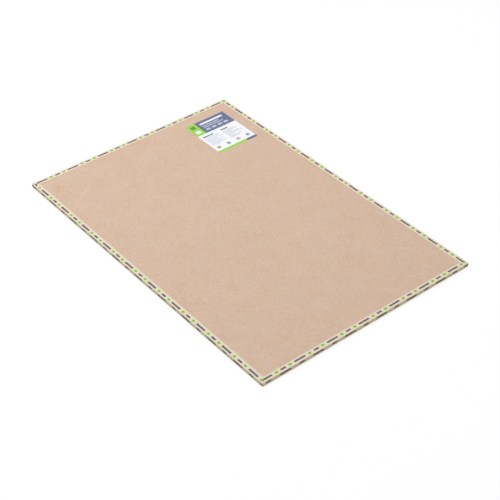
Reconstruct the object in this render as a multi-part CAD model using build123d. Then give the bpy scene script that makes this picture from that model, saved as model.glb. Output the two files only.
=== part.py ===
"""Sound-insulation panel: a kraft-faced board, bound on its four edges with folded tape, with one paper label.

Millimetres, +Z up, +X along the board. The origin is under the middle of the panel, in the plane it lies on.
"""

import os
from math import pi

from build123d import *

# Board, without its tape
BOARD_LENGTH = 1200.0
BOARD_WIDTH = 800.0
BOARD_THICKNESS = 13.0
CORNER_RADIUS = 2.5  # upright corners
EDGE_RADIUS = 1.2  # long arrises, softened where the tape is drawn over them

# Binding tape, one strip to an edge, folded over both faces
TAPE_WIDTH = 50.0  # of the flat strip, before it is folded
TAPE_THICKNESS = 0.12

# Label, stuck on the upper face in the corner at -X, +Y
LABEL_LENGTH = 200.0  # along X
LABEL_WIDTH = 162.0  # along Y
LABEL_THICKNESS = 0.1
LABEL_CORNER_RADIUS = 1.5
LABEL_FROM_LEFT = 60.0  # from the board's -X edge
LABEL_FROM_BACK = 56.0  # from the board's +Y edge

# Each edge's strip, by the turn about Z that brings the -Y edge there
TAPE_TURNS = {"front": 0, "right": 90, "back": 180, "left": 270}

# A rounding is kept inside the wall and the upright corner that it runs along
FOLD_RADIUS = min(EDGE_RADIUS, 0.9 * CORNER_RADIUS, 0.45 * BOARD_THICKNESS)

# What is left of the strip's width on each face, after the edge and its two folds
FOLD_LENGTH = pi / 2 * (FOLD_RADIUS + TAPE_THICKNESS / 2)
EDGE_FLAT = BOARD_THICKNESS - 2 * FOLD_RADIUS
FLANGE_FLAT = (TAPE_WIDTH - EDGE_FLAT - 2 * FOLD_LENGTH) / 2
FLANGE_REACH = FLANGE_FLAT + FOLD_RADIUS  # from the board's edge to the flange's inner edge

UNDERSIDE = TAPE_THICKNESS  # the board lies on the tape's lower flanges
UPPER_FACE = UNDERSIDE + BOARD_THICKNESS


def soft_slab(grown):
    """The board's outline, grown by that much all round, with its arrises rounded. It stands on its own tape."""
    outline = RectangleRounded(
        BOARD_LENGTH + 2 * grown, BOARD_WIDTH + 2 * grown, CORNER_RADIUS + grown
    )
    slab = Pos(0, 0, UNDERSIDE - grown) * extrude(outline, BOARD_THICKNESS + 2 * grown)
    faces = slab.faces().sort_by(Axis.Z)
    return fillet(faces[0].edges() + faces[-1].edges(), FOLD_RADIUS + grown)


def tape_frame(board):
    """All the tape in one piece: a skin over the board's edges, open over the bare middle of both faces."""
    bare_length = BOARD_LENGTH - 2 * FLANGE_REACH
    bare_width = BOARD_WIDTH - 2 * FLANGE_REACH
    through = BOARD_THICKNESS + 4 * TAPE_THICKNESS
    bare = Pos(0, 0, (UNDERSIDE + UPPER_FACE) / 2) * Box(bare_length, bare_width, through)
    return soft_slab(TAPE_THICKNESS) - board - bare


def mitre_wedge(along, across):
    """Upright block over the -Y edge of an along by across slab, cut at 45 degrees through the two corners."""
    depth = FLANGE_REACH + TAPE_THICKNESS
    edge = -across / 2
    outline = Polyline(
        (-along / 2 - depth, edge - depth),
        (along / 2 + depth, edge - depth),
        (along / 2 - depth, edge + depth),
        (-along / 2 + depth, edge + depth),
        close=True,
    )
    return extrude(make_face(outline), UPPER_FACE + 2 * TAPE_THICKNESS)


def tape_strip(frame, turn):
    """One edge's strip, mitred at both ends."""
    sides = (BOARD_LENGTH, BOARD_WIDTH) if turn % 180 == 0 else (BOARD_WIDTH, BOARD_LENGTH)
    return (frame & Rot(0, 0, turn) * mitre_wedge(*sides)).solid()


def paper_label():
    """The label, flat on the upper face."""
    sheet = extrude(RectangleRounded(LABEL_LENGTH, LABEL_WIDTH, LABEL_CORNER_RADIUS), LABEL_THICKNESS)
    middle_x = -BOARD_LENGTH / 2 + LABEL_FROM_LEFT + LABEL_LENGTH / 2
    middle_y = BOARD_WIDTH / 2 - LABEL_FROM_BACK - LABEL_WIDTH / 2
    return Pos(middle_x, middle_y, UPPER_FACE) * sheet


board = soft_slab(0)
frame = tape_frame(board)
pieces = {"board": board, "label": paper_label()}
for edge, turn in TAPE_TURNS.items():
    pieces[f"tape_{edge}"] = tape_strip(frame, turn)

os.makedirs("parts", exist_ok=True)
for name, piece in pieces.items():
    export_step(piece, f"parts/{name}.step")
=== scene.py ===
"""Looks of the sound-insulation panel: a washboarded kraft board, printed edge tape and a printed label.

Shapes are worked out in millimetres, in the row frame, and turned into metres when a piece is made.
"""

from math import cos, pi, radians, sin
from typing import NamedTuple

import bpy
import numpy as np
from mathutils import Matrix, Vector


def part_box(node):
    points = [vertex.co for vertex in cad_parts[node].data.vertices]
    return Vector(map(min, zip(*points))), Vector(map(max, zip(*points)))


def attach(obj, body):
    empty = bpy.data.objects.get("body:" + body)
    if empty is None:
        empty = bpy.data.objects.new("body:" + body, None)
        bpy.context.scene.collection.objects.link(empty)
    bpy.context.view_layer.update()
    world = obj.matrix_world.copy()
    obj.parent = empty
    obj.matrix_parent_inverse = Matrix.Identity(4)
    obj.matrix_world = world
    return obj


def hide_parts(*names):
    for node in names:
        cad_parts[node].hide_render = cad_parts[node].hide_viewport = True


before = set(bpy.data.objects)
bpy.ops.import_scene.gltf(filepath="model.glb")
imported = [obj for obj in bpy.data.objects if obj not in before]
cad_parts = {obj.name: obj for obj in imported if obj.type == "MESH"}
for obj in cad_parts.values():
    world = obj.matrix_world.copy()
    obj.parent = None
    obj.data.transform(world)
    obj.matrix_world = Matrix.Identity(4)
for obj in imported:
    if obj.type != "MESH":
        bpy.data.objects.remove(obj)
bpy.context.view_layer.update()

MM = 0.001
TINY = 1e-9  # keeps a division off zero


def srgb(red, green, blue):
    """A colour written as the eye sees it, from 0 to 255, in linear light by the sRGB formula."""
    share = np.array([red, green, blue]) / 255
    linear = np.where(share <= 0.04045, share / 12.92, ((share + 0.055) / 1.055) ** 2.4)
    return (*linear.tolist(), 1.0)


class Noise(NamedTuple):
    """A noise: the size of its features in millimetres, its finer layers, and how strong they are."""

    size: float
    detail: float = 2.0
    roughness: float = 0.5


class Tones(NamedTuple):
    """A colour for where a noise is high, one for where it is low, and the most that each covers."""

    dark: tuple
    dark_share: float
    pale: tuple
    pale_share: float


class Block(NamedTuple):
    """A plain printed rectangle, placed from the label's left and top edges, in millimetres."""

    left: float
    top: float
    width: float
    height: float
    colour: tuple


# Sizes that the frame gives
BOARD_LOW, BOARD_HIGH = (np.array(corner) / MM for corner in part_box("board"))
LABEL_LOW, LABEL_HIGH = (np.array(corner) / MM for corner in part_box("label"))
TAPE_LOW, TAPE_HIGH = (np.array(corner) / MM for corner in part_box("tape_front"))
LENGTH, WIDTH = (BOARD_HIGH - BOARD_LOW)[:2]
TAPE_THICKNESS = BOARD_LOW[2]
TAPE_REACH = TAPE_HIGH[1] - TAPE_LOW[1]  # from the tape's outer face to its flange's inner edge
LABEL_LENGTH, LABEL_WIDTH, LABEL_THICKNESS = LABEL_HIGH - LABEL_LOW

# Roundings, as in the solids
CORNER_RADIUS = 2.5
FOLD_RADIUS = 1.2
LABEL_CORNER_RADIUS = 1.5
ROUND_STEPS = 5  # faces over a rounded edge
LINE_ROOM = 0.3  # between the lines of a rounding and the next one
SHARP_ANGLE = 40.0  # degrees: an edge that turns further is shaded as an edge

# Relief of the faces
FLUTE_PITCH = 8.65  # the corrugations run along X
FLUTE_DEPTH = 0.15  # how far the liner sags between them
FLUTE_STEPS = 5  # faces over one of them
SAG_POWER = 1.5  # a power of 1 would leave a sharp crest on each of them
UNEVEN_DEPTH = 0.25
UNEVEN_WAVES = ((420, 25, 0.4), (260, -40, 1.9), (180, 70, 3.1), (130, 115, 5.2))  # length, degrees, phase
RELIEF_FADE = 8.0  # it dies out this near the edges, under the tape
FACE_STEP = 24.0  # along the corrugations
MARGIN_STEPS = 9  # across the margin that the tape covers
FLANGE_STEPS = 10
LABEL_STEP = 4.0
LABEL_LIFT = 0.4  # of the label's corners
LIFTED_SHARE = 0.86  # of the way out to a corner, where the lift begins

# Tape strips, each named by the turn that brings the front edge there
TAPE_TURNS = {"front": 0, "right": 90, "back": 180, "left": 270}
END_ZONE = 26.0  # from a strip's end to where its stations run straight across
END_SHARES = np.array([0.2, 0.4, 0.6, 0.8, 0.9, 0.93, 0.955, 0.98, 1.0])  # of the way on to the mitre
MITRE_GAP = 0.12  # each strip stops this short of the mitre
MITRE_TURN = pi / 4  # round an upright corner, as far as the mitre

# Print on the tape: for each strip, how many repeats it starts late, and how far its flange's row is from
# the outer face. They differ because the strips are cut anywhere and aren't laid on quite evenly.
TAPE_PRINT = {"front": (0.1, 8.4), "right": (0.35, 10.2), "back": (0.7, 9.4), "left": (0.55, 9.6)}
SIDE_LATE = 0.5  # repeats, from the flange's row to the side's
SIDE_ROW = 8.6  # the row's height on the side
SIDE_INSET = 0.4  # a face of the fold that lies nearer to the outer face belongs to the side

# One repeat of that print: a short hatched bar in the middle, half a long one at each end, and lozenges
# between them
REPEAT_LENGTH = 120.0
HATCH_COUNT = 36  # whole strokes, so that one repeat joins the next
HATCH_PITCH = REPEAT_LENGTH / HATCH_COUNT
HATCH_SHARE = 0.86  # of a pitch that is inked
HATCH_SLANT = 0.5  # along the strip, for each millimetre across it
HATCH_EDGE = 0.04  # half the width of a stroke's blur, in pitches
SHORT_BAR = 18.0
LONG_BAR = 40.0
BAR_HEIGHT = 6.5
LOZENGE_PLACE = (SHORT_BAR + REPEAT_LENGTH - LONG_BAR) / 4  # halfway between the bars
LOZENGE_WIDTH = 16.0
LOZENGE_HEIGHT = 12.6
LOZENGE_HEART = 0.42  # how much of a lozenge is dark
LOZENGE_EDGE = 0.05  # half the width of its blur, as a share of half the lozenge
INK_EDGE = 0.12  # half the width of a printed edge's blur

# Parts of the tape, told by how level it lies: 1 on a flange, 0 on the side
SIDE_LEVEL = (0.5, 0.2)  # where the side's colours (painted shade on the cream, and its ink) begin, and where they are full
FOLD_LEVEL = (0.7, 0.15, 0.1)  # middle, half width and softness of the painted highlight along a fold
FLANGE_LEVEL = (0.9, 0.97)  # where the lozenges begin, and where they are full

# Maps that the finishes are baked on. The tape is cut into rows, and its faces have shares of a row's height,
# the outer one most of it. The board's and label's upper face, under face and rim have shares of the map's.
BAKE_ROWS = 4
BAKE_SPARE = 1.07  # a row's width over its length of tape, with room for the faces at its ends
BAKE_OUTER = (0.01, 0.81)
BAKE_INNER = (0.83, 0.95)
BAKE_CLOSING = 0.965
BAKE_CAP = (0.975, 0.99)
BAKE_BOARD = ((0.335, 0.995), (0.06, 0.325), (0.01, 0.05))
BAKE_LABEL = ((0.08, 0.99), (0.005, 0.035), (0.05, 0.065))

# Colours
WHITE = (1.0, 1.0, 1.0, 1.0)
KRAFT_WARM = srgb(221, 190, 165)
KRAFT_COOL = srgb(217, 190, 169)
KRAFT_DEEP = srgb(200, 148, 102)
KRAFT_FADED = srgb(229, 213, 200)
KRAFT_DARK = srgb(172, 140, 114)
KRAFT_PALE = srgb(238, 217, 199)
CREAM = srgb(232, 218, 201)
# Painted shade: a darker, yellower copy of the cream, for the tape's sides
CREAM_SIDE_SHADE = srgb(221, 204, 166)
CREAM_WARM = srgb(214, 196, 160)
CREAM_PALE = srgb(245, 236, 218)
INK = srgb(38, 39, 46)
INK_SIDE = srgb(40, 35, 22)
GREEN = srgb(152, 214, 62)
GREEN_DARK = srgb(84, 146, 32)
LABEL_WHITE = srgb(247, 249, 252)
LABEL_GREY = srgb(192, 198, 210)
MID_GREY = srgb(160, 166, 178)
TAN = srgb(190, 160, 138)
ROSE = srgb(222, 166, 166)
SLATE = srgb(96, 106, 140)
PALE_SLATE = srgb(190, 198, 216)

# Kraft finish, from its broad tints to its fibres
KRAFT_TINT = Noise(40.0, detail=5.0, roughness=0.65)
KRAFT_TINT_RANGE = (0.2, 0.8)  # of the noise, from all warm to all cool
KRAFT_CLOUDS = Noise(60.0)
KRAFT_CLOUD_TONES = Tones(KRAFT_DEEP, 0.1, KRAFT_FADED, 0.14)
KRAFT_MOTTLE = Noise(8.0, detail=4.0)
KRAFT_MOTTLE_TONES = Tones(KRAFT_DEEP, 0.18, KRAFT_FADED, 0.26)
KRAFT_SPECKS = Noise(2.4)
KRAFT_SPECK_TONES = Tones(KRAFT_DARK, 0.24, KRAFT_PALE, 0.3)
KRAFT_GRAIN = Noise(0.9, detail=3.0)
KRAFT_GRAIN_SQUEEZE = (1.0, 0.6, 1.0)  # of the coordinates, so the grain is longer along Y
KRAFT_GRAIN_TONES = Tones(KRAFT_DARK, 0.36, KRAFT_PALE, 0.4)
KRAFT_FIBRES = (  # degrees from Y, colour
    (24, KRAFT_DARK),
    (-20, KRAFT_PALE),
    (74, KRAFT_DARK),
    (-68, KRAFT_PALE),
)
FIBRE_WIDTH = 0.28
FIBRE_DRAWN = 12  # its length over its width
FIBRE_RANGE = (0.62, 0.68)  # of the noise, from no fibre to a full one
FIBRE_SHARE = 0.5
FLUTE_TONE_AND_SHADE = 0.16  # of the dark tone over a corrugation, partly the liner's own tone and partly painted shade of the washboard
KRAFT_ROUGHNESS = (0.83, 0.97)  # where the grain is low, and where it is high
KRAFT_SPECULAR = 0.2
KRAFT_BUMP = (0.03, 0.4)  # height and strength

# Tape finish
TAPE_CLOUDS = Noise(14.0, detail=3.0)
TAPE_CLOUD_SHARE = 0.12
TAPE_GRAIN = Noise(0.7, detail=3.0)
TAPE_GRAIN_TONES = Tones(CREAM_WARM, 0.4, CREAM_PALE, 0.4)
# Painted highlight: how much paler cream lies along each fold
FOLD_HIGHLIGHT = 0.5
TAPE_ROUGHNESS = (0.58, 0.46)  # where it is bare, and where it is printed
TAPE_SPECULAR = 0.3
TAPE_BUMPS = Noise(0.8)
TAPE_BUMP = (0.01, 0.3)

# Label finish
LABEL_CLOUDS = Noise(9.0, detail=3.0)
LABEL_CLOUD_SHARE = 0.06
LABEL_ROUGHNESS = (0.37, 0.53)  # where the clouds are low, and where they are high
LABEL_SPECULAR = 0.35
LABEL_BUMPS = Noise(0.6)
LABEL_BUMP = (0.01, 0.2)

# A noise's middle, and how far from it a tone covers all that it may
NOISE_MIDDLE = 0.5
NOISE_SWING = 0.25

# Label print: a head of squares, bars and tiles, two columns of lines, a row of squares and a foot
LABEL_MARGIN = 10.0
HEAD_HEIGHT = 74.0
HEAD_SPLIT = 38.0  # between its green part and its slate part
HEAD_SQUARE = 18.0
HEAD_SQUARES = ((12.0, GREEN_DARK), (44.0, LABEL_WHITE))  # top, colour
HEAD_LEFT = 50.0  # of the bars and the tiles
HEAD_BARS = (  # top, width, height, colour
    (13.0, 96.0, 9.0, LABEL_WHITE),
    (29.0, 72.0, 5.0, PALE_SLATE),
    (39.0, 84.0, 5.0, PALE_SLATE),
)
TILE_COUNT = 4
TILE_PITCH = 25.0
TILE_TOP = 51.0
TILE_WIDTH = 18.0
TILE_HEIGHT = 11.0
COLUMN_LEFTS = (LABEL_MARGIN, 86.0)
COLUMN_WIDTH = 66.0
COLUMN_HEAD_TOP = 88.0
COLUMN_HEAD_WIDTHS = (44.0, 30.0)
COLUMN_HEAD_HEIGHT = 5.0
LINE_TOP = 99.0
LINE_PITCH = 7.0
LINE_HEIGHT = 3.0
LINE_SHARES = (  # how far each pair of lines runs over its columns
    (0.95, 0.7), (0.8, 0.9), (1.0, 0.5), (0.6, 0.85), (0.9, 1.0), (0.7, 0.4), (0.95, 0.8), (0.5, 0.6),
)
SQUARE_LEFT = 12.0
SQUARE_TOP = 163.0
SQUARE_SIDE = 14.0
SQUARE_PITCH = 41.0
SQUARE_COLOURS = (TAN, MID_GREY, ROSE, MID_GREY)
FOOT_HEIGHT = 12.0
FOOT_SPLIT = 120.0  # between its green part and its slate part

# Stage
FLOOR_SIDE = 80.0  # metres
FLOOR_DROP = 0.0001  # metres below the panel
FLOOR_COLOUR = (0.8, 0.8, 0.8, 1.0)
FLOOR_SEEN = (0.22, 0.22, 0.22, 1.0)  # the part of the floor's white that shadows darken
FLOOR_GLOW = 0.8  # the rest of it
WORLD_STRENGTH = 0.34
BACKDROP_STRENGTH = 0.875  # of the world where the camera sees it, as white as the floor far off
LAMPS = (((-1.1, -0.3, 4.0), 4.0, 140.0), ((4.0, 0.3, 1.0), 2.0, 9.0))  # place and width in metres, watts

# Camera, as fitted to the photo's edge lines, with the panel's real sizes held: degrees and millimetres
CAMERA_AZIMUTH = 52.0931
CAMERA_ELEVATION = 39.0356
CAMERA_ROLL = -1.2705
CAMERA_DISTANCE = 4016.27
CAMERA_ASIDE = (-29.458, 79.273)  # the origin's place in the view, right and up
CAMERA_FOCAL = 1274.78  # pixels
IMAGE_SIDE = 500.0  # pixels
SENSOR = 36.0  # its width, which only sets the scale of the lens

# Sockets of a Mix node for colours, which also has hidden ones for numbers and vectors
MIX_INPUTS = (0, 6, 7)  # share, first colour, second colour
MIX_OUTPUT = 2


# Relief

def fade(x, y):
    """1 over the faces, falling to 0 at the board's edges."""
    inset = np.minimum(LENGTH / 2 - np.abs(x), WIDTH / 2 - np.abs(y))
    share = np.clip(inset / RELIEF_FADE, 0, 1)
    return share * share * (3 - 2 * share)


def relief(x, y):
    """How far a face lies below its flat plane: the liner sags between corrugations and is uneven."""
    sag = FLUTE_DEPTH * np.abs(np.sin(pi * y / FLUTE_PITCH)) ** SAG_POWER
    waves = 0.0
    for length, turn, phase in UNEVEN_WAVES:
        along = x * cos(radians(turn)) + y * sin(radians(turn))
        waves = waves + np.sin(2 * pi * along / length + phase)
    uneven = UNEVEN_DEPTH * (0.5 + 0.5 * waves / len(UNEVEN_WAVES))
    return fade(x, y) * (sag + uneven)


# Meshes

def new_piece(name, points, faces, node, material):
    """A mesh from points in millimetres. It rides on the panel and stands for one CAD node."""
    mesh = bpy.data.meshes.new(name)
    mesh.from_pydata((np.asarray(points) * MM).tolist(), [], np.asarray(faces).tolist())
    mesh.polygons.foreach_set("use_smooth", np.ones(len(mesh.polygons), bool))
    mesh.set_sharp_from_angle(angle=radians(SHARP_ANGLE))
    mesh.materials.append(material)
    piece = bpy.data.objects.new(name, mesh)
    bpy.context.scene.collection.objects.link(piece)
    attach(piece, "root")
    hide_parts(node)
    return piece


def add_map(piece, name, places):
    """A UV map from one (u, v) for each face corner."""
    layer = piece.data.uv_layers.new(name=name)
    layer.data.foreach_set("uv", np.asarray(places, np.float32).ravel())


def grid_faces(rows, columns, start=0):
    """Faces of a grid of points, stored row after row.

    They are wound upward where x grows along a row and y grows from row to row.
    """
    first = start + np.arange((rows - 1) * columns).reshape(rows - 1, columns)[:, :-1]
    return np.stack([first, first + 1, first + 1 + columns, first + columns], -1).reshape(-1, 4)


def grid_rim(rows, columns):
    """The points round a grid, in order, anticlockwise from above."""
    number = np.arange(rows * columns).reshape(rows, columns)
    return np.concatenate([number[0, :-1], number[:-1, -1], number[-1, :0:-1], number[:0:-1, 0]])


def rounded_grid(x_lines, y_lines, radius):
    """A grid over a rectangle about the origin, with rounded corners, and each point's inset."""
    x, y = np.meshgrid(x_lines, y_lines)
    half_x, half_y = x_lines[-1], y_lines[-1]
    inset = np.minimum(half_x - np.abs(x), half_y - np.abs(y))
    from_x = np.abs(x) - (half_x - radius)
    from_y = np.abs(y) - (half_y - radius)
    corner = (from_x > 0) & (from_y > 0)
    squeeze = np.where(corner, np.maximum(from_x, from_y) / np.maximum(np.hypot(from_x, from_y), TINY), 1)
    x = np.where(corner, np.sign(x) * (half_x - radius + from_x * squeeze), x)
    y = np.where(corner, np.sign(y) * (half_y - radius + from_y * squeeze), y)
    return x, y, inset


def slab(upper, lower):
    """A closed mesh of two like grids of points, one above the other, joined round their rims.

    Gives its points, its faces and how many of them are on the upper side. As many follow for the under
    side, and then the rim's.
    """
    rows, columns = upper.shape[:2]
    count = rows * columns
    rim = grid_rim(rows, columns)
    beside = np.roll(rim, -1)
    top = grid_faces(rows, columns)
    bottom = grid_faces(rows, columns, count)[:, ::-1]
    side = np.stack([rim + count, beside + count, beside, rim], -1)
    points = np.concatenate([upper.reshape(-1, 3), lower.reshape(-1, 3)])
    return points, np.concatenate([top, bottom, side]), len(top)


def slab_bake_places(points, faces, face_count, heights):
    """Where each face corner of a slab lies on its bake map, with so many faces on its upper side.

    The upper face lies as it is, the under face is turned, and the rim is stretched out. Each has its own
    part of the map's height.
    """
    low = points[:, :2].min(0)
    high = points[:, :2].max(0)
    places = ((points[:, :2] - low) / (high - low))[faces]
    top, under, rim = np.split(places, (face_count, 2 * face_count))  # views, so places changes with them
    under[:] = under[..., ::-1].copy()
    start = np.arange(len(rim)) / len(rim)
    end = start + 1 / len(rim)
    rim[..., 0] = np.stack([start, end, end, start], -1)
    rim[..., 1] = (0, 0, 1, 1)
    for part, height in zip((top, under, rim), heights):
        part[..., 1] = np.interp(part[..., 1], (0, 1), height)
    return places


def edge_lines(half, insets, inner):
    """Grid lines across a rectangle's side: the inner ones, and the same insets from both ends."""
    outer = half - np.asarray(insets)
    kept = inner[np.abs(inner) < outer[-1] - LINE_ROOM]
    return np.concatenate([-outer, kept, outer[::-1]])


def even_lines(half, step):
    """Lines on the multiples of a step, as far as half to both sides."""
    count = int(half // step)
    return step * np.arange(-count, count + 1)


# Board

def make_board(material):
    """The board: both faces washboarded, the arrises and the upright corners rounded."""
    turns = np.linspace(0, pi / 2, ROUND_STEPS + 1)
    rounding = np.append(FOLD_RADIUS * (1 - np.cos(turns)), CORNER_RADIUS)
    margin = np.linspace(CORNER_RADIUS, TAPE_REACH, MARGIN_STEPS + 1)[1:]
    x_insets = np.concatenate([rounding, margin])
    x_lines = edge_lines(LENGTH / 2, x_insets, even_lines(LENGTH / 2, FACE_STEP))
    y_lines = edge_lines(WIDTH / 2, rounding, even_lines(WIDTH / 2, FLUTE_PITCH / FLUTE_STEPS))
    x, y, inset = rounded_grid(x_lines, y_lines, CORNER_RADIUS)
    short = np.clip(FOLD_RADIUS - inset, 0, FOLD_RADIUS)
    drop = FOLD_RADIUS - np.sqrt(FOLD_RADIUS**2 - short**2) + relief(x, y)
    upper = np.stack([x, y, BOARD_HIGH[2] - drop], -1)
    lower = np.stack([x, y, BOARD_LOW[2] + drop], -1)
    points, faces, face_count = slab(upper, lower)
    piece = new_piece("kraft_board", points, faces, "board", material)
    add_map(piece, "OFBake", slab_bake_places(points, faces, face_count, BAKE_BOARD))


# Tape

def tape_section():
    """The folded tape's section, from the upper flange's inner edge, over the side, to the lower one's.

    Gives the inset and height of each point of its outer face and of its inner face.
    """
    faces = []
    centre = FOLD_RADIUS + TAPE_THICKNESS
    top = BOARD_HIGH[2] + TAPE_THICKNESS
    turns = np.linspace(0, pi / 2, ROUND_STEPS + 1)
    flange = np.linspace(TAPE_REACH, centre, FLANGE_STEPS + 1)[:-1]
    for depth in (0.0, TAPE_THICKNESS):
        radius = centre - depth
        inset = np.concatenate([flange, centre - radius * np.sin(turns)])
        height = np.concatenate([np.full(FLANGE_STEPS, top - depth), top - centre + radius * np.cos(turns)])
        inset = np.concatenate([inset, inset[::-1]])
        height = np.concatenate([height, top - height[::-1]])
        faces.append(np.stack([inset, height], -1))
    return faces


def along_edge(half, inset, middle):
    """Stations along one edge for lines at several insets from its outer face.

    Each line runs straight, and wraps round the upright corners as far as the mitres. Gives its place along
    the edge, its inset there and the distance along the flat tape, one row to a station.
    """
    corner = CORNER_RADIUS + TAPE_THICKNESS
    radius = np.maximum(corner - inset, 0)
    start = half - END_ZONE
    straight = END_ZONE - np.maximum(corner, inset)
    whole = straight + radius * MITRE_TURN - MITRE_GAP
    run = np.outer(END_SHARES, whole)
    turn = np.clip(run - straight, 0, None) / np.maximum(radius, TINY)
    turn = np.where(radius > 0, turn, 0)
    end_place = start + np.minimum(run, straight) + radius * np.sin(turn)
    end_inset = inset + radius * (1 - np.cos(turn))
    middle_place = np.repeat(middle[:, None], len(inset), 1)
    middle_inset = np.repeat(inset[None, :], len(middle), 0)
    place = np.concatenate([-end_place[::-1], middle_place, end_place])
    inset = np.concatenate([end_inset[::-1], middle_inset, end_inset])
    flat = np.concatenate([-(start + run)[::-1], middle_place, start + run])
    return place, inset, flat


def strip_faces(stations, layers):
    """Faces of a folded strip: its skin, station by station round the section, and a cap at each end."""
    number = np.arange(stations * 2 * layers).reshape(stations, 2 * layers)
    beside = np.roll(number, -1, axis=1)
    skin = np.stack([number[:-1], beside[:-1], beside[1:], number[1:]], -1).reshape(-1, 4)
    caps = []
    for ring, order in ((number[0], 1), (number[-1], -1)):
        out = ring[:layers]
        back = ring[layers:][::-1]
        caps.append(np.stack([out[:-1], back[:-1], back[1:], out[1:]], -1)[:, ::order])
    return np.concatenate([skin, *caps])


def print_places(edge, faces, along, section):
    """Where each face corner lies in the print: repeats along the strip, and millimetres off the row."""
    inset, height = section[faces].transpose(2, 0, 1)
    late, row_inset = TAPE_PRINT[edge]
    repeats = along[faces] / REPEAT_LENGTH - late
    on_flange = np.stack([repeats, inset - row_inset], -1)
    on_side = np.stack([repeats - SIDE_LATE, height - SIDE_ROW], -1)
    is_side = inset.mean(1) < SIDE_INSET
    return np.where(is_side[:, None, None], on_side, on_flange)


def bake_places(flat, across):
    """Where each face corner of a strip lies on its bake map, with the strip cut into rows."""
    share = across / across[-1]
    outer, inner = (np.interp(share, (0, 1), heights) for heights in (BAKE_OUTER, BAKE_INNER))
    levels = np.concatenate([outer, inner, [BAKE_CLOSING]])
    length = 2 * np.abs(flat).max() / BAKE_ROWS
    middle = (flat[:-1] + flat[1:]).mean(1)[:, None, None] / 2
    row = np.clip(np.floor(middle / length + BAKE_ROWS / 2), 0, BAKE_ROWS - 1)
    centre = (row + 0.5 - BAKE_ROWS / 2) * length
    beside = np.roll(flat, -1, axis=1)
    along = np.stack([flat[:-1], beside[:-1], beside[1:], flat[1:]], -1)
    right = 0.5 + (along - centre) / (BAKE_SPARE * length)
    up = row + np.stack([levels[:-1], levels[1:], levels[1:], levels[:-1]], -1)
    skin = np.stack([right, up], -1).reshape(-1, 4, 2)
    out, back = (np.stack([share, np.full_like(share, level)], -1) for level in BAKE_CAP)
    cap = np.stack([out[:-1], back[:-1], back[1:], out[1:]], 1)
    last_cap = cap[:, ::-1] + (0, BAKE_ROWS - 1)
    return np.concatenate([skin, cap, last_cap]) / (1, BAKE_ROWS)


def make_tape(edge, material):
    """One edge's strip, folded over both faces, mitred at its ends, lying on the board's relief."""
    turn = radians(TAPE_TURNS[edge])
    crosses_flutes = edge in ("left", "right")
    half, other = (WIDTH, LENGTH) if crosses_flutes else (LENGTH, WIDTH)
    half = half / 2 + TAPE_THICKNESS
    other = other / 2 + TAPE_THICKNESS
    middle = even_lines(half - END_ZONE, FLUTE_PITCH / FLUTE_STEPS if crosses_flutes else FACE_STEP)
    outer, inner = tape_section()
    across = np.concatenate([[0], np.cumsum(np.hypot(*np.diff(outer, axis=0).T))])
    section = np.concatenate([outer, inner[::-1]])
    place, inset, flat = along_edge(half, section[:, 0], middle)
    x = place * cos(turn) - (inset - other) * sin(turn)
    y = place * sin(turn) + (inset - other) * cos(turn)
    height = np.repeat(section[None, :, 1], len(place), 0)
    height += np.where(height > BOARD_HIGH[2] / 2, -1, 1) * relief(x, y)
    points = np.stack([x, y, height], -1).reshape(-1, 3)
    faces = strip_faces(len(place), len(outer))
    piece = new_piece(f"edge_tape_{edge}", points, faces, f"tape_{edge}", material)
    add_map(piece, "Print", print_places(edge, faces, flat.ravel(), np.tile(section, (len(place), 1))))
    add_map(piece, "OFBake", bake_places(flat, across))


# Label

def make_label(material):
    """The label: a thin sheet lying on the board's relief, its corners a little lifted."""
    centre = (LABEL_LOW + LABEL_HIGH) / 2
    insets = np.linspace(0, LABEL_CORNER_RADIUS, ROUND_STEPS + 1)
    half_x, half_y = LABEL_LENGTH / 2, LABEL_WIDTH / 2
    x_lines = edge_lines(half_x, insets, even_lines(half_x, LABEL_STEP))
    flutes = even_lines(WIDTH / 2, FLUTE_PITCH / FLUTE_STEPS) - centre[1]
    y_lines = edge_lines(half_y, insets, flutes)
    x, y, _ = rounded_grid(x_lines, y_lines, LABEL_CORNER_RADIUS)
    outward = np.abs(x) / LABEL_LENGTH + np.abs(y) / LABEL_WIDTH
    lift = LABEL_LIFT * np.clip((outward - LIFTED_SHARE) / (1 - LIFTED_SHARE), 0, 1) ** 2
    base = LABEL_LOW[2] - relief(x + centre[0], y + centre[1]) + lift
    lower = np.stack([x + centre[0], y + centre[1], base], -1)
    points, faces, face_count = slab(lower + (0, 0, LABEL_THICKNESS), lower)
    piece = new_piece("paper_label", points, faces, "label", material)
    printed = (points - LABEL_LOW)[faces][..., [1, 0]]
    under = slice(face_count, 2 * face_count)
    printed[under] -= 2 * LABEL_LENGTH  # off the print: the under side is bare
    add_map(piece, "Print", printed)
    add_map(piece, "OFBake", slab_bake_places(points, faces, face_count, BAKE_LABEL))


# Materials

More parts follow.
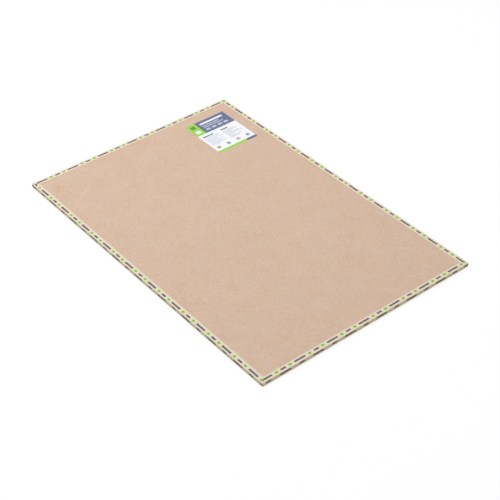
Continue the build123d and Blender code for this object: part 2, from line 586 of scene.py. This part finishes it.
class Tree:
    """The nodes of a material or world. A value may be a number, a colour or another node's output."""

    def __init__(self, owner):
        owner.use_nodes = True
        self.nodes = owner.node_tree.nodes
        self.links = owner.node_tree.links
        self.shader = self.nodes.get("Principled BSDF")

    def feed(self, socket, value):
        """Links a node's output to a socket, or sets the socket's own value."""
        if isinstance(value, bpy.types.NodeSocket):
            self.links.new(value, socket)
        else:
            socket.default_value = value

    def add(self, kind, values=(), **settings):
        """A new node, with values for its first inputs."""
        node = self.nodes.new(f"ShaderNode{kind}")
        for setting, value in settings.items():
            setattr(node, setting, value)
        for socket, value in zip(node.inputs, values):
            self.feed(socket, value)
        return node

    def math(self, operation, *values):
        """A number worked out from others."""
        return self.add("Math", values, operation=operation).outputs[0]

    def share(self, mask, part):
        """A mask, weakened to a part of itself."""
        return self.math("MULTIPLY", mask, part)

    def spread(self, share, start, end):
        """A number that goes from start to end as the share goes from 0 to 1."""
        return self.math("MULTIPLY_ADD", share, end - start, start)

    def vector(self, operation, *values):
        """A vector worked out from others."""
        return self.add("VectorMath", values, operation=operation).outputs[0]

    def parts(self, vector):
        """The numbers that a vector is made of."""
        return self.add("SeparateXYZ", (vector,)).outputs

    def step(self, value, low, high):
        """A smooth rise from 0 at low to 1 at high, or a fall where high is the lower one."""
        return self.add("MapRange", (value, low, high), interpolation_type="SMOOTHSTEP").outputs[0]

    def below(self, value, limit, soft):
        """1 where the value is below the limit, with a soft edge."""
        return self.step(value, limit + soft, limit - soft)

    def band(self, value, centre, half, soft):
        """1 within half of the centre, with soft edges."""
        off = self.math("ABSOLUTE", self.math("SUBTRACT", value, centre))
        return self.below(off, half, soft)

    def noise(self, place, noise):
        """A noise from 0 to 1."""
        node = self.add("TexNoise")
        self.feed(node.inputs["Vector"], place)
        self.feed(node.inputs["Scale"], 1 / noise.size)
        self.feed(node.inputs["Detail"], noise.detail)
        self.feed(node.inputs["Roughness"], noise.roughness)
        return node.outputs[0]

    def fibres(self, place, turn):
        """A noise of fibres, all drawn out along a line that many degrees from Y."""
        node = self.add("VectorRotate", rotation_type="Z_AXIS")
        self.feed(node.inputs["Vector"], place)
        self.feed(node.inputs["Angle"], radians(-turn))
        drawn = self.vector("MULTIPLY", node.outputs[0], (1, 1 / FIBRE_DRAWN, 1))
        return self.noise(drawn, Noise(FIBRE_WIDTH))

    def mix(self, share, first, second):
        """The first colour, with so much of the second over it."""
        node = self.add("Mix", data_type="RGBA")
        for number, value in zip(MIX_INPUTS, (share, first, second)):
            self.feed(node.inputs[number], value)
        return node.outputs[MIX_OUTPUT]

    def toned(self, colour, noise, tones):
        """A colour that turns darker where the noise is high, and paler where it is low."""
        high = self.step(noise, NOISE_MIDDLE, NOISE_MIDDLE + NOISE_SWING)
        low = self.step(noise, NOISE_MIDDLE, NOISE_MIDDLE - NOISE_SWING)
        colour = self.mix(self.share(high, tones.dark_share), colour, tones.dark)
        return self.mix(self.share(low, tones.pale_share), colour, tones.pale)

    def place(self):
        """Object coordinates in millimetres."""
        point = self.add("TexCoord").outputs["Object"]
        return self.vector("MULTIPLY", point, (1 / MM,) * 3)

    def print_place(self):
        """The two numbers of the print map."""
        return self.parts(self.add("UVMap", uv_map="Print").outputs[0])[:2]

    def seen(self):
        """1 for what the camera sees, straight or in a reflection, and 0 for light that falls on things."""
        path = self.add("LightPath").outputs
        mirrored = self.math("MAXIMUM", path["Is Glossy Ray"], path["Is Transmission Ray"])
        return self.math("MAXIMUM", path["Is Camera Ray"], mirrored)

    def bump(self, height, distance, strength):
        """A bumpy surface, with the distance in millimetres."""
        node = self.add("Bump")
        self.feed(node.inputs["Height"], height)
        self.feed(node.inputs["Distance"], distance * MM)
        self.feed(node.inputs["Strength"], strength)
        self.feed(self.shader.inputs["Normal"], node.outputs[0])

    def surface(self, **values):
        """Values for the shader's inputs, named with _ for a space."""
        for name, value in values.items():
            self.feed(self.shader.inputs[name.replace("_", " ")], value)


def kraft_material():
    """Kraft liner: cloudy and fibrous, with a faint darker tone over each corrugation, partly its own and
    partly painted shade.
    """
    material = bpy.data.materials.new("kraft")
    tree = Tree(material)
    place = tree.place()
    tint = tree.noise(place, KRAFT_TINT)
    grain = tree.noise(tree.vector("MULTIPLY", place, KRAFT_GRAIN_SQUEEZE), KRAFT_GRAIN)
    phase = tree.math("MULTIPLY", tree.parts(place)[1], 2 * pi / FLUTE_PITCH)
    flutes = tree.math("MULTIPLY_ADD", tree.math("COSINE", phase), 0.5, 0.5)  # 1 on each, 0 between two
    colour = tree.mix(tree.step(tint, *KRAFT_TINT_RANGE), KRAFT_WARM, KRAFT_COOL)
    # darker over each corrugation: partly the liner's own tone, partly painted shade of the washboard
    colour = tree.mix(tree.share(flutes, FLUTE_TONE_AND_SHADE), colour, KRAFT_DARK)
    colour = tree.toned(colour, tree.noise(place, KRAFT_CLOUDS), KRAFT_CLOUD_TONES)
    colour = tree.toned(colour, tree.noise(place, KRAFT_MOTTLE), KRAFT_MOTTLE_TONES)
    colour = tree.toned(colour, grain, KRAFT_GRAIN_TONES)
    for turn, tone in KRAFT_FIBRES:
        fibres = tree.step(tree.fibres(place, turn), *FIBRE_RANGE)
        colour = tree.mix(tree.share(fibres, FIBRE_SHARE), colour, tone)
    colour = tree.toned(colour, tree.noise(place, KRAFT_SPECKS), KRAFT_SPECK_TONES)
    roughness = tree.spread(grain, *KRAFT_ROUGHNESS)
    tree.surface(Base_Color=colour, Roughness=roughness, Specular_IOR_Level=KRAFT_SPECULAR)
    tree.bump(grain, *KRAFT_BUMP)
    return material


def tape_material():
    """Cream tape with a generic print: long and short hatched bars, and green lozenges between them."""
    material = bpy.data.materials.new("tape")
    tree = Tree(material)
    repeat, row = tree.print_place()
    place = tree.place()
    level = tree.math("ABSOLUTE", tree.parts(tree.add("NewGeometry").outputs["Normal"])[2])
    on_side = tree.step(level, *SIDE_LEVEL)
    on_fold_highlight = tree.band(level, *FOLD_LEVEL)
    on_flange = tree.step(level, *FLANGE_LEVEL)
    centred = tree.math("SUBTRACT", tree.math("FRACT", tree.math("ADD", repeat, 0.5)), 0.5)
    along = tree.math("MULTIPLY", centred, REPEAT_LENGTH)
    from_middle = tree.math("ABSOLUTE", along)

    slanted = tree.math("MULTIPLY_ADD", row, HATCH_SLANT, along)
    stroke = tree.math("FRACT", tree.math("DIVIDE", slanted, HATCH_PITCH))
    hatch = tree.band(stroke, 0.5, HATCH_SHARE / 2, HATCH_EDGE)
    short_bar = tree.band(from_middle, 0, SHORT_BAR / 2, INK_EDGE)
    long_bar = tree.band(from_middle, REPEAT_LENGTH / 2, LONG_BAR / 2, INK_EDGE)
    bar = tree.math("MAXIMUM", short_bar, long_bar)
    bar = tree.math("MULTIPLY", bar, tree.band(row, 0, BAR_HEIGHT / 2, INK_EDGE))
    ink = tree.math("MULTIPLY", hatch, bar)

    aside = tree.math("ABSOLUTE", tree.math("SUBTRACT", from_middle, LOZENGE_PLACE))
    lozenge = tree.math("DIVIDE", aside, LOZENGE_WIDTH / 2)
    lozenge = tree.math("MULTIPLY_ADD", tree.math("ABSOLUTE", row), 2 / LOZENGE_HEIGHT, lozenge)
    green = tree.share(tree.below(lozenge, 1, LOZENGE_EDGE), on_flange)
    heart = tree.share(tree.below(lozenge, LOZENGE_HEART, LOZENGE_EDGE), on_flange)

    # the cream turns darker and yellower on the sides: painted shade
    colour = tree.mix(on_side, CREAM, CREAM_SIDE_SHADE)
    colour = tree.mix(tree.share(tree.noise(place, TAPE_CLOUDS), TAPE_CLOUD_SHARE), colour, CREAM_WARM)
    colour = tree.toned(colour, tree.noise(place, TAPE_GRAIN), TAPE_GRAIN_TONES)
    # a paler line along each fold: painted highlight
    colour = tree.mix(tree.share(on_fold_highlight, FOLD_HIGHLIGHT), colour, CREAM_PALE)
    colour = tree.mix(ink, colour, tree.mix(on_side, INK, INK_SIDE))
    colour = tree.mix(green, colour, GREEN)
    colour = tree.mix(heart, colour, GREEN_DARK)
    roughness = tree.spread(tree.math("MAXIMUM", ink, green), *TAPE_ROUGHNESS)
    tree.surface(Base_Color=colour, Roughness=roughness, Specular_IOR_Level=TAPE_SPECULAR)
    tree.bump(tree.noise(place, TAPE_BUMPS), *TAPE_BUMP)
    return material


def label_blocks():
    """The label's print: plain blocks, each laid over the ones before it."""
    foot = LABEL_LENGTH - FOOT_HEIGHT
    blocks = [
        Block(0, 0, LABEL_WIDTH, HEAD_HEIGHT, SLATE),
        Block(0, 0, HEAD_SPLIT, HEAD_HEIGHT, GREEN),
        Block(0, foot, FOOT_SPLIT, FOOT_HEIGHT, GREEN),
        Block(FOOT_SPLIT, foot, LABEL_WIDTH - FOOT_SPLIT, FOOT_HEIGHT, SLATE),
    ]
    for top, colour in HEAD_SQUARES:
        blocks.append(Block(LABEL_MARGIN, top, HEAD_SQUARE, HEAD_SQUARE, colour))
    for top, width, height, colour in HEAD_BARS:
        blocks.append(Block(HEAD_LEFT, top, width, height, colour))
    for tile in range(TILE_COUNT):
        left = HEAD_LEFT + TILE_PITCH * tile
        blocks.append(Block(left, TILE_TOP, TILE_WIDTH, TILE_HEIGHT, PALE_SLATE))
    for left, width in zip(COLUMN_LEFTS, COLUMN_HEAD_WIDTHS):
        blocks.append(Block(left, COLUMN_HEAD_TOP, width, COLUMN_HEAD_HEIGHT, INK))
    for line, shares in enumerate(LINE_SHARES):
        top = LINE_TOP + LINE_PITCH * line
        for left, share in zip(COLUMN_LEFTS, shares):
            blocks.append(Block(left, top, COLUMN_WIDTH * share, LINE_HEIGHT, LABEL_GREY))
    for square, colour in enumerate(SQUARE_COLOURS):
        left = SQUARE_LEFT + SQUARE_PITCH * square
        blocks.append(Block(left, SQUARE_TOP, SQUARE_SIDE, SQUARE_SIDE, colour))
    return blocks


def label_material():
    """White paper with a generic print of blocks, bars and lines."""
    material = bpy.data.materials.new("label")
    tree = Tree(material)
    spot = tree.add("CombineXYZ", tree.print_place()).outputs[0]
    colour = LABEL_WHITE
    for block in label_blocks():
        half_width = block.width / 2
        half_height = block.height / 2
        middle = (block.left + half_width, block.top + half_height, 0)
        off = tree.vector("ABSOLUTE", tree.vector("SUBTRACT", spot, middle))
        over = tree.parts(tree.vector("SUBTRACT", off, (half_width, half_height, 0)))
        mask = tree.below(tree.math("MAXIMUM", over[0], over[1]), 0, INK_EDGE)
        colour = tree.mix(mask, colour, block.colour)
    place = tree.place()
    clouds = tree.noise(place, LABEL_CLOUDS)
    colour = tree.mix(tree.share(clouds, LABEL_CLOUD_SHARE), colour, LABEL_GREY)
    roughness = tree.spread(clouds, *LABEL_ROUGHNESS)
    tree.surface(Base_Color=colour, Roughness=roughness, Specular_IOR_Level=LABEL_SPECULAR)
    tree.bump(tree.noise(place, LABEL_BUMPS), *LABEL_BUMP)
    return material


# Stage

def make_floor():
    """A white floor that keeps a faint shadow."""
    half = FLOOR_SIDE / 2
    corners = [(-half, -half, 0), (half, -half, 0), (half, half, 0), (-half, half, 0)]
    mesh = bpy.data.meshes.new("floor")
    mesh.from_pydata(corners, [], [(0, 1, 2, 3)])
    floor = bpy.data.objects.new("floor", mesh)
    floor.location.z = -FLOOR_DROP
    bpy.context.scene.collection.objects.link(floor)
    material = bpy.data.materials.new("floor")
    tree = Tree(material)
    seen = tree.seen()
    tree.surface(Base_Color=tree.mix(seen, FLOOR_COLOUR, FLOOR_SEEN), Roughness=1.0, Specular_IOR_Level=0.0)
    tree.surface(Emission_Color=WHITE, Emission_Strength=tree.share(seen, FLOOR_GLOW))
    mesh.materials.append(material)


def make_lamp(place, width, power):
    """A round lamp that shines on the middle of the floor."""
    lamp = bpy.data.lights.new("lamp", "AREA")
    lamp.shape = "DISK"
    lamp.size = width
    lamp.energy = power
    holder = bpy.data.objects.new("lamp", lamp)
    holder.location = place
    holder.rotation_mode = "QUATERNION"
    holder.rotation_quaternion = (-Vector(place)).to_track_quat("-Z", "Y")
    holder.visible_camera = False
    bpy.context.scene.collection.objects.link(holder)


def make_light():
    """A white studio: even light from all round, a broad lamp overhead and a weak one low on the right."""
    world = bpy.data.worlds.new("studio")
    bpy.context.scene.world = world
    tree = Tree(world)
    background = tree.nodes["Background"]
    tree.feed(background.inputs["Color"], WHITE)
    tree.feed(background.inputs["Strength"], tree.spread(tree.seen(), WORLD_STRENGTH, BACKDROP_STRENGTH))
    for place, width, power in LAMPS:
        make_lamp(place, width, power)


def make_camera():
    """The photo's view."""
    azimuth = radians(CAMERA_AZIMUTH)
    elevation = radians(CAMERA_ELEVATION)
    back = Vector((sin(azimuth) * cos(elevation), -cos(azimuth) * cos(elevation), sin(elevation)))
    level = Vector((cos(azimuth), sin(azimuth), 0))
    turn = Matrix.Rotation(radians(CAMERA_ROLL), 3, back)
    right = turn @ level
    up = turn @ back.cross(level)
    data = bpy.data.cameras.new("camera")
    data.sensor_width = SENSOR
    data.lens = SENSOR * CAMERA_FOCAL / IMAGE_SIDE
    camera = bpy.data.objects.new("camera", data)
    place = (CAMERA_DISTANCE * back - CAMERA_ASIDE[0] * right - CAMERA_ASIDE[1] * up) * MM
    axes = Matrix((right, up, back)).transposed()
    camera.matrix_world = Matrix.Translation(place) @ axes.to_4x4()
    bpy.context.scene.collection.objects.link(camera)
    bpy.context.scene.camera = camera


make_board(kraft_material())
tape = tape_material()
for edge in TAPE_TURNS:
    make_tape(edge, tape)
make_label(label_material())
make_floor()
make_light()
make_camera()
bpy.context.scene.view_settings.view_transform = "Standard"

bpy.context.view_layer.update()
